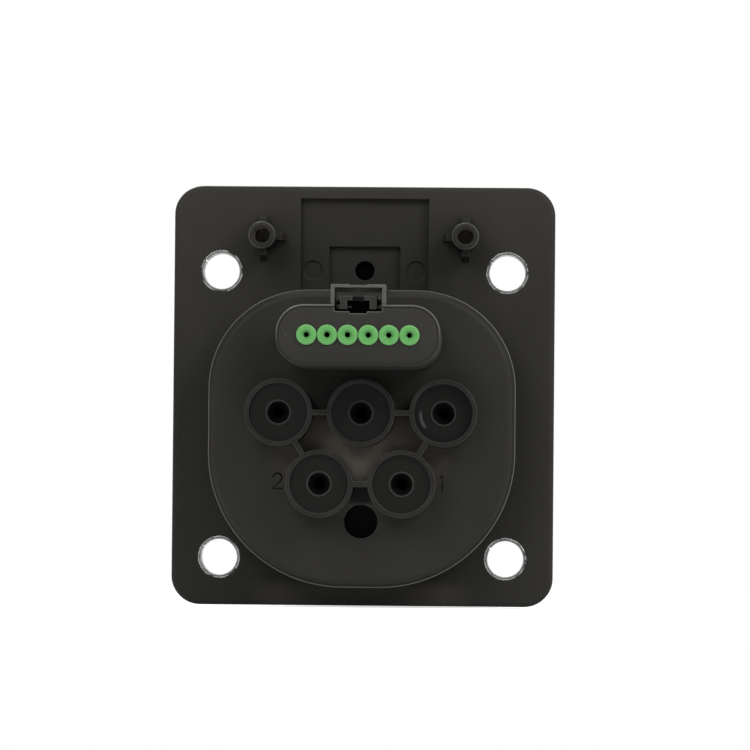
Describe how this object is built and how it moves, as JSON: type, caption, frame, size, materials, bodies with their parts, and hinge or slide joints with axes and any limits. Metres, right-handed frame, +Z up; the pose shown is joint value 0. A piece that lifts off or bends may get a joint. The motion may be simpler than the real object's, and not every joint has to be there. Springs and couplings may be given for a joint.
{
  "type": "vehicle charge port inlet",
  "caption": "Square-flanged vehicle charge port inlet: D-shaped mating shell with socket towers in front, rounded housing with sealed wire tubes and a latched signal plug behind.",
  "frame": {"origin": "middle of the four bolt holes, on the flange's rear face", "axes": "+Z up, +Y out of the rear, where the wires enter, -Y towards the charging connector"},
  "size_m": [0.08, 0.0766, 0.088],
  "materials": {
    "housing_plastic": "matte moulded, fine grain",
    "plug_plastic": "matte moulded",
    "black_rubber": "smooth rubber",
    "bush_steel": "bare rolled steel",
    "silver_plate": "silver plated",
    "spring_steel": "bare spring steel",
    "circuit_board": "solder mask",
    "sensor_resin": "dipped resin",
    "tinned_brass": "tin plated",
    "red_silicone": "smooth silicone",
    "green_silicone": "smooth silicone"
  },
  "bodies": {
    "inlet": {"flange_housing": "housing_plastic", "contact_carrier": "housing_plastic", "rear_housing": "housing_plastic", "power_tower_1": "housing_plastic", "power_tower_2": "housing_plastic", "power_tower_3": "housing_plastic", "power_tower_4": "housing_plastic", "power_tower_5": "housing_plastic", "signal_tower_1": "housing_plastic", "signal_tower_2": "housing_plastic", "drain_cap": "housing_plastic", "signal_plug": "plug_plastic", "carrier_seal": "black_rubber", "wire_seal_1": "black_rubber", "wire_seal_2": "black_rubber", "wire_seal_3": "black_rubber", "wire_seal_4": "black_rubber", "wire_seal_5": "black_rubber", "bush_1": "bush_steel", "bush_2": "bush_steel", "bush_3": "bush_steel", "bush_4": "bush_steel", "power_contact_1": "silver_plate", "power_contact_2": "silver_plate", "power_contact_3": "silver_plate", "power_contact_4": "silver_plate", "power_contact_5": "silver_plate", "signal_contact_1": "silver_plate", "signal_contact_2": "silver_plate", "contact_springs": "spring_steel", "signal_board": "circuit_board", "temperature_sensor_1": "sensor_resin", "temperature_sensor_2": "sensor_resin", "header_pins": "tinned_brass", "plug_terminal_1": "tinned_brass", "plug_terminal_2": "tinned_brass", "plug_terminal_3": "tinned_brass", "plug_terminal_4": "tinned_brass", "plug_terminal_5": "tinned_brass", "plug_terminal_6": "tinned_brass", "plug_ring_seal": "red_silicone", "green_seal_1": "green_silicone", "green_seal_2": "green_silicone", "green_seal_3": "green_silicone", "green_seal_4": "green_silicone", "green_seal_5": "green_silicone", "green_seal_6": "green_silicone"},
    "latch": {"latch_lever": "plug_plastic"}
  },
  "joints": [
    {"name": "latch_pivot", "type": "hinge", "parent": "inlet", "child": "latch", "pos_m": [0, 0.03, 0.0224], "axis": [-1, 0, 0], "range_deg": [0, 6.5], "stiffness_Nm_per_rad": 0.3}
  ]
}
